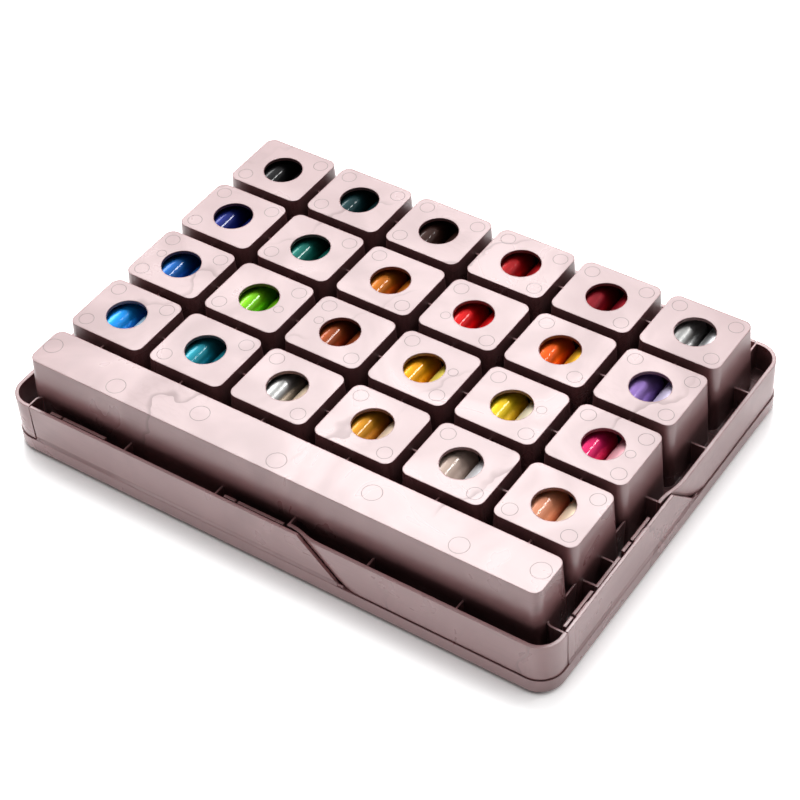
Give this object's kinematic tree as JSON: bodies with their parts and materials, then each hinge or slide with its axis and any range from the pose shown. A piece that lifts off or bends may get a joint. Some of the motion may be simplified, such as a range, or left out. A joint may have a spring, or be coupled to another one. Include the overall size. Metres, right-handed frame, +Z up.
{
  "type": "bobbin box",
  "caption": "Snap-together box for sewing bobbins lying on its lid: tapered pockets with round windows in their floors, a long trough, and slim wound bobbins inside.",
  "frame": {"origin": "on the table, under the middle of the lid that the box lies on", "axes": "+X along the trough, +Y from the trough toward the rows of pockets, +Z up"},
  "size_m": [0.2044, 0.1462, 0.0358],
  "materials": {
    "moulded_plastic": "satin mauve-pink moulded plastic with faint flow lines",
    "thread_black": "smooth, silky wound thread",
    "thread_blue": "smooth, silky wound thread",
    "thread_bright_blue": "smooth, silky wound thread",
    "thread_burgundy": "smooth, silky wound thread",
    "thread_copper": "smooth, silky wound thread",
    "thread_cream": "smooth, silky wound thread",
    "thread_dark_brown": "smooth, silky wound thread",
    "thread_dark_red": "smooth, silky wound thread",
    "thread_dark_teal": "smooth, silky wound thread",
    "thread_gold_brown": "smooth, silky wound thread",
    "thread_golden_yellow": "smooth, silky wound thread",
    "thread_lavender": "smooth, silky wound thread",
    "thread_light_grey": "smooth, silky wound thread",
    "thread_lime": "smooth, silky wound thread",
    "thread_magenta": "smooth, silky wound thread",
    "thread_navy": "smooth, silky wound thread",
    "thread_ochre": "smooth, silky wound thread",
    "thread_orange": "smooth, silky wound thread",
    "thread_pale_peach": "smooth, silky wound thread",
    "thread_pale_yellow": "smooth, silky wound thread",
    "thread_peach": "smooth, silky wound thread",
    "thread_pink": "smooth, silky wound thread",
    "thread_purple": "smooth, silky wound thread",
    "thread_red": "smooth, silky wound thread",
    "thread_silver": "smooth, silky wound thread",
    "thread_silver_black": "smooth, silky wound thread",
    "thread_sky": "smooth, silky wound thread",
    "thread_taupe": "smooth, silky wound thread",
    "thread_teal": "smooth, silky wound thread",
    "thread_turquoise": "smooth, silky wound thread",
    "thread_yellow": "smooth, silky wound thread",
    "thread_yellow_orange": "smooth, silky wound thread"
  },
  "bodies": {
    "lid": {"lid": "moulded_plastic"},
    "tray": {"tray_rim": "moulded_plastic", "tray_ribs": "moulded_plastic", "tray_trough": "moulded_plastic", "tray_cups_row1": "moulded_plastic", "tray_cups_row2": "moulded_plastic", "tray_cups_row3": "moulded_plastic", "tray_cups_row4": "moulded_plastic"},
    "bobbin_row1_col1_left": {"bobbin_row1_col1_left": "thread_bright_blue"},
    "bobbin_row1_col1_right": {"bobbin_row1_col1_right": "thread_sky"},
    "bobbin_row1_col2_left": {"bobbin_row1_col2_left": "thread_turquoise"},
    "bobbin_row1_col2_right": {"bobbin_row1_col2_right": "thread_turquoise"},
    "bobbin_row1_col3_left": {"bobbin_row1_col3_left": "thread_silver_black"},
    "bobbin_row1_col3_right": {"bobbin_row1_col3_right": "thread_pale_peach"},
    "bobbin_row1_col4_left": {"bobbin_row1_col4_left": "thread_gold_brown"},
    "bobbin_row1_col4_right": {"bobbin_row1_col4_right": "thread_pale_peach"},
    "bobbin_row1_col5_left": {"bobbin_row1_col5_left": "thread_taupe"},
    "bobbin_row1_col5_right": {"bobbin_row1_col5_right": "thread_light_grey"},
    "bobbin_row1_col6_left": {"bobbin_row1_col6_left": "thread_peach"},
    "bobbin_row1_col6_right": {"bobbin_row1_col6_right": "thread_pale_peach"},
    "bobbin_row2_col1_left": {"bobbin_row2_col1_left": "thread_blue"},
    "bobbin_row2_col1_right": {"bobbin_row2_col1_right": "thread_blue"},
    "bobbin_row2_col2_left": {"bobbin_row2_col2_left": "thread_lime"},
    "bobbin_row2_col2_right": {"bobbin_row2_col2_right": "thread_lime"},
    "bobbin_row2_col3_left": {"bobbin_row2_col3_left": "thread_copper"},
    "bobbin_row2_col3_right": {"bobbin_row2_col3_right": "thread_copper"},
    "bobbin_row2_col4_left": {"bobbin_row2_col4_left": "thread_golden_yellow"},
    "bobbin_row2_col4_right": {"bobbin_row2_col4_right": "thread_pale_yellow"},
    "bobbin_row2_col5_left": {"bobbin_row2_col5_left": "thread_yellow"},
    "bobbin_row2_col5_right": {"bobbin_row2_col5_right": "thread_cream"},
    "bobbin_row2_col6_left": {"bobbin_row2_col6_left": "thread_magenta"},
    "bobbin_row2_col6_right": {"bobbin_row2_col6_right": "thread_pink"},
    "bobbin_row3_col1_left": {"bobbin_row3_col1_left": "thread_navy"},
    "bobbin_row3_col1_right": {"bobbin_row3_col1_right": "thread_navy"},
    "bobbin_row3_col2_left": {"bobbin_row3_col2_left": "thread_teal"},
    "bobbin_row3_col2_right": {"bobbin_row3_col2_right": "thread_teal"},
    "bobbin_row3_col3_left": {"bobbin_row3_col3_left": "thread_ochre"},
    "bobbin_row3_col3_right": {"bobbin_row3_col3_right": "thread_ochre"},
    "bobbin_row3_col4_left": {"bobbin_row3_col4_left": "thread_red"},
    "bobbin_row3_col4_right": {"bobbin_row3_col4_right": "thread_red"},
    "bobbin_row3_col5_left": {"bobbin_row3_col5_left": "thread_orange"},
    "bobbin_row3_col5_right": {"bobbin_row3_col5_right": "thread_yellow_orange"},
    "bobbin_row3_col6_left": {"bobbin_row3_col6_left": "thread_purple"},
    "bobbin_row3_col6_right": {"bobbin_row3_col6_right": "thread_lavender"},
    "bobbin_row4_col1_left": {"bobbin_row4_col1_left": "thread_black"},
    "bobbin_row4_col1_right": {"bobbin_row4_col1_right": "thread_black"},
    "bobbin_row4_col2_left": {"bobbin_row4_col2_left": "thread_dark_teal"},
    "bobbin_row4_col2_right": {"bobbin_row4_col2_right": "thread_dark_teal"},
    "bobbin_row4_col3_left": {"bobbin_row4_col3_left": "thread_dark_brown"},
    "bobbin_row4_col3_right": {"bobbin_row4_col3_right": "thread_dark_brown"},
    "bobbin_row4_col4_left": {"bobbin_row4_col4_left": "thread_dark_red"},
    "bobbin_row4_col4_right": {"bobbin_row4_col4_right": "thread_dark_red"},
    "bobbin_row4_col5_left": {"bobbin_row4_col5_left": "thread_burgundy"},
    "bobbin_row4_col5_right": {"bobbin_row4_col5_right": "thread_burgundy"},
    "bobbin_row4_col6_left": {"bobbin_row4_col6_left": "thread_silver_black"},
    "bobbin_row4_col6_right": {"bobbin_row4_col6_right": "thread_silver"}
  },
  "joints": [
    {"name": "tray_lift", "type": "slide", "parent": "lid", "child": "tray", "axis": [0, 0, 1], "range_m": [0, 0.045]},
    {"name": "push_row1_col1_left", "type": "slide", "parent": "tray", "child": "bobbin_row1_col1_left", "axis": [0, 0, -1], "range_m": [0, 0.0185]},
    {"name": "push_row1_col1_right", "type": "slide", "parent": "tray", "child": "bobbin_row1_col1_right", "axis": [0, 0, -1], "range_m": [0, 0.0185]},
    {"name": "push_row1_col2_left", "type": "slide", "parent": "tray", "child": "bobbin_row1_col2_left", "axis": [0, 0, -1], "range_m": [0, 0.0185]},
    {"name": "push_row1_col2_right", "type": "slide", "parent": "tray", "child": "bobbin_row1_col2_right", "axis": [0, 0, -1], "range_m": [0, 0.0185]},
    {"name": "push_row1_col3_left", "type": "slide", "parent": "tray", "child": "bobbin_row1_col3_left", "axis": [0, 0, -1], "range_m": [0, 0.0185]},
    {"name": "push_row1_col3_right", "type": "slide", "parent": "tray", "child": "bobbin_row1_col3_right", "axis": [0, 0, -1], "range_m": [0, 0.0185]},
    {"name": "push_row1_col4_left", "type": "slide", "parent": "tray", "child": "bobbin_row1_col4_left", "axis": [0, 0, -1], "range_m": [0, 0.0185]},
    {"name": "push_row1_col4_right", "type": "slide", "parent": "tray", "child": "bobbin_row1_col4_right", "axis": [0, 0, -1], "range_m": [0, 0.0185]},
    {"name": "push_row1_col5_left", "type": "slide", "parent": "tray", "child": "bobbin_row1_col5_left", "axis": [0, 0, -1], "range_m": [0, 0.0185]},
    {"name": "push_row1_col5_right", "type": "slide", "parent": "tray", "child": "bobbin_row1_col5_right", "axis": [0, 0, -1], "range_m": [0, 0.0185]},
    {"name": "push_row1_col6_left", "type": "slide", "parent": "tray", "child": "bobbin_row1_col6_left", "axis": [0, 0, -1], "range_m": [0, 0.0185]},
    {"name": "push_row1_col6_right", "type": "slide", "parent": "tray", "child": "bobbin_row1_col6_right", "axis": [0, 0, -1], "range_m": [0, 0.0185]},
    {"name": "push_row2_col1_left", "type": "slide", "parent": "tray", "child": "bobbin_row2_col1_left", "axis": [0, 0, -1], "range_m": [0, 0.0185]},
    {"name": "push_row2_col1_right", "type": "slide", "parent": "tray", "child": "bobbin_row2_col1_right", "axis": [0, 0, -1], "range_m": [0, 0.0185]},
    {"name": "push_row2_col2_left", "type": "slide", "parent": "tray", "child": "bobbin_row2_col2_left", "axis": [0, 0, -1], "range_m": [0, 0.0185]},
    {"name": "push_row2_col2_right", "type": "slide", "parent": "tray", "child": "bobbin_row2_col2_right", "axis": [0, 0, -1], "range_m": [0, 0.0185]},
    {"name": "push_row2_col3_left", "type": "slide", "parent": "tray", "child": "bobbin_row2_col3_left", "axis": [0, 0, -1], "range_m": [0, 0.0185]},
    {"name": "push_row2_col3_right", "type": "slide", "parent": "tray", "child": "bobbin_row2_col3_right", "axis": [0, 0, -1], "range_m": [0, 0.0185]},
    {"name": "push_row2_col4_left", "type": "slide", "parent": "tray", "child": "bobbin_row2_col4_left", "axis": [0, 0, -1], "range_m": [0, 0.0185]},
    {"name": "push_row2_col4_right", "type": "slide", "parent": "tray", "child": "bobbin_row2_col4_right", "axis": [0, 0, -1], "range_m": [0, 0.0185]},
    {"name": "push_row2_col5_left", "type": "slide", "parent": "tray", "child": "bobbin_row2_col5_left", "axis": [0, 0, -1], "range_m": [0, 0.0185]},
    {"name": "push_row2_col5_right", "type": "slide", "parent": "tray", "child": "bobbin_row2_col5_right", "axis": [0, 0, -1], "range_m": [0, 0.0185]},
    {"name": "push_row2_col6_left", "type": "slide", "parent": "tray", "child": "bobbin_row2_col6_left", "axis": [0, 0, -1], "range_m": [0, 0.0185]},
    {"name": "push_row2_col6_right", "type": "slide", "parent": "tray", "child": "bobbin_row2_col6_right", "axis": [0, 0, -1], "range_m": [0, 0.0185]},
    {"name": "push_row3_col1_left", "type": "slide", "parent": "tray", "child": "bobbin_row3_col1_left", "axis": [0, 0, -1], "range_m": [0, 0.0185]},
    {"name": "push_row3_col1_right", "type": "slide", "parent": "tray", "child": "bobbin_row3_col1_right", "axis": [0, 0, -1], "range_m": [0, 0.0185]},
    {"name": "push_row3_col2_left", "type": "slide", "parent": "tray", "child": "bobbin_row3_col2_left", "axis": [0, 0, -1], "range_m": [0, 0.0185]},
    {"name": "push_row3_col2_right", "type": "slide", "parent": "tray", "child": "bobbin_row3_col2_right", "axis": [0, 0, -1], "range_m": [0, 0.0185]},
    {"name": "push_row3_col3_left", "type": "slide", "parent": "tray", "child": "bobbin_row3_col3_left", "axis": [0, 0, -1], "range_m": [0, 0.0185]},
    {"name": "push_row3_col3_right", "type": "slide", "parent": "tray", "child": "bobbin_row3_col3_right", "axis": [0, 0, -1], "range_m": [0, 0.0185]},
    {"name": "push_row3_col4_left", "type": "slide", "parent": "tray", "child": "bobbin_row3_col4_left", "axis": [0, 0, -1], "range_m": [0, 0.0185]},
    {"name": "push_row3_col4_right", "type": "slide", "parent": "tray", "child": "bobbin_row3_col4_right", "axis": [0, 0, -1], "range_m": [0, 0.0185]},
    {"name": "push_row3_col5_left", "type": "slide", "parent": "tray", "child": "bobbin_row3_col5_left", "axis": [0, 0, -1], "range_m": [0, 0.0185]},
    {"name": "push_row3_col5_right", "type": "slide", "parent": "tray", "child": "bobbin_row3_col5_right", "axis": [0, 0, -1], "range_m": [0, 0.0185]},
    {"name": "push_row3_col6_left", "type": "slide", "parent": "tray", "child": "bobbin_row3_col6_left", "axis": [0, 0, -1], "range_m": [0, 0.0185]},
    {"name": "push_row3_col6_right", "type": "slide", "parent": "tray", "child": "bobbin_row3_col6_right", "axis": [0, 0, -1], "range_m": [0, 0.0185]},
    {"name": "push_row4_col1_left", "type": "slide", "parent": "tray", "child": "bobbin_row4_col1_left", "axis": [0, 0, -1], "range_m": [0, 0.0185]},
    {"name": "push_row4_col1_right", "type": "slide", "parent": "tray", "child": "bobbin_row4_col1_right", "axis": [0, 0, -1], "range_m": [0, 0.0185]},
    {"name": "push_row4_col2_left", "type": "slide", "parent": "tray", "child": "bobbin_row4_col2_left", "axis": [0, 0, -1], "range_m": [0, 0.0185]},
    {"name": "push_row4_col2_right", "type": "slide", "parent": "tray", "child": "bobbin_row4_col2_right", "axis": [0, 0, -1], "range_m": [0, 0.0185]},
    {"name": "push_row4_col3_left", "type": "slide", "parent": "tray", "child": "bobbin_row4_col3_left", "axis": [0, 0, -1], "range_m": [0, 0.0185]},
    {"name": "push_row4_col3_right", "type": "slide", "parent": "tray", "child": "bobbin_row4_col3_right", "axis": [0, 0, -1], "range_m": [0, 0.0185]},
    {"name": "push_row4_col4_left", "type": "slide", "parent": "tray", "child": "bobbin_row4_col4_left", "axis": [0, 0, -1], "range_m": [0, 0.0185]},
    {"name": "push_row4_col4_right", "type": "slide", "parent": "tray", "child": "bobbin_row4_col4_right", "axis": [0, 0, -1], "range_m": [0, 0.0185]},
    {"name": "push_row4_col5_left", "type": "slide", "parent": "tray", "child": "bobbin_row4_col5_left", "axis": [0, 0, -1], "range_m": [0, 0.0185]},
    {"name": "push_row4_col5_right", "type": "slide", "parent": "tray", "child": "bobbin_row4_col5_right", "axis": [0, 0, -1], "range_m": [0, 0.0185]},
    {"name": "push_row4_col6_left", "type": "slide", "parent": "tray", "child": "bobbin_row4_col6_left", "axis": [0, 0, -1], "range_m": [0, 0.0185]},
    {"name": "push_row4_col6_right", "type": "slide", "parent": "tray", "child": "bobbin_row4_col6_right", "axis": [0, 0, -1], "range_m": [0, 0.0185]}
  ]
}
